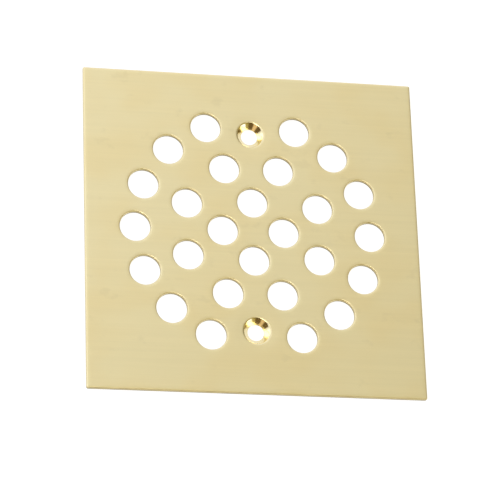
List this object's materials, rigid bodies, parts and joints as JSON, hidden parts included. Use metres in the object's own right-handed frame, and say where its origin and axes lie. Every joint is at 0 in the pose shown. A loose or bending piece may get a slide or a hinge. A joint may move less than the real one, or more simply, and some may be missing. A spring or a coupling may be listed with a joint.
{
  "type": "floor drain grate",
  "caption": "Square flat floor drain grate in satin brass, with round drain holes in three rings and two countersunk screw holes pressed as dimples.",
  "frame": {"origin": "on the plate's centre line, level with the flat rims of the two screw dimples, the part's lowest points", "axes": "+Z out of the floor, square to the face; the two screw holes lie on the Y axis and the plate's sides run along X and Y"},
  "size_m": [0.108, 0.108, 0.0023],
  "materials": {
    "satin_brass": "satin"
  },
  "bodies": {
    "root": {"grate_plate": "satin_brass"}
  },
  "joints": []
}
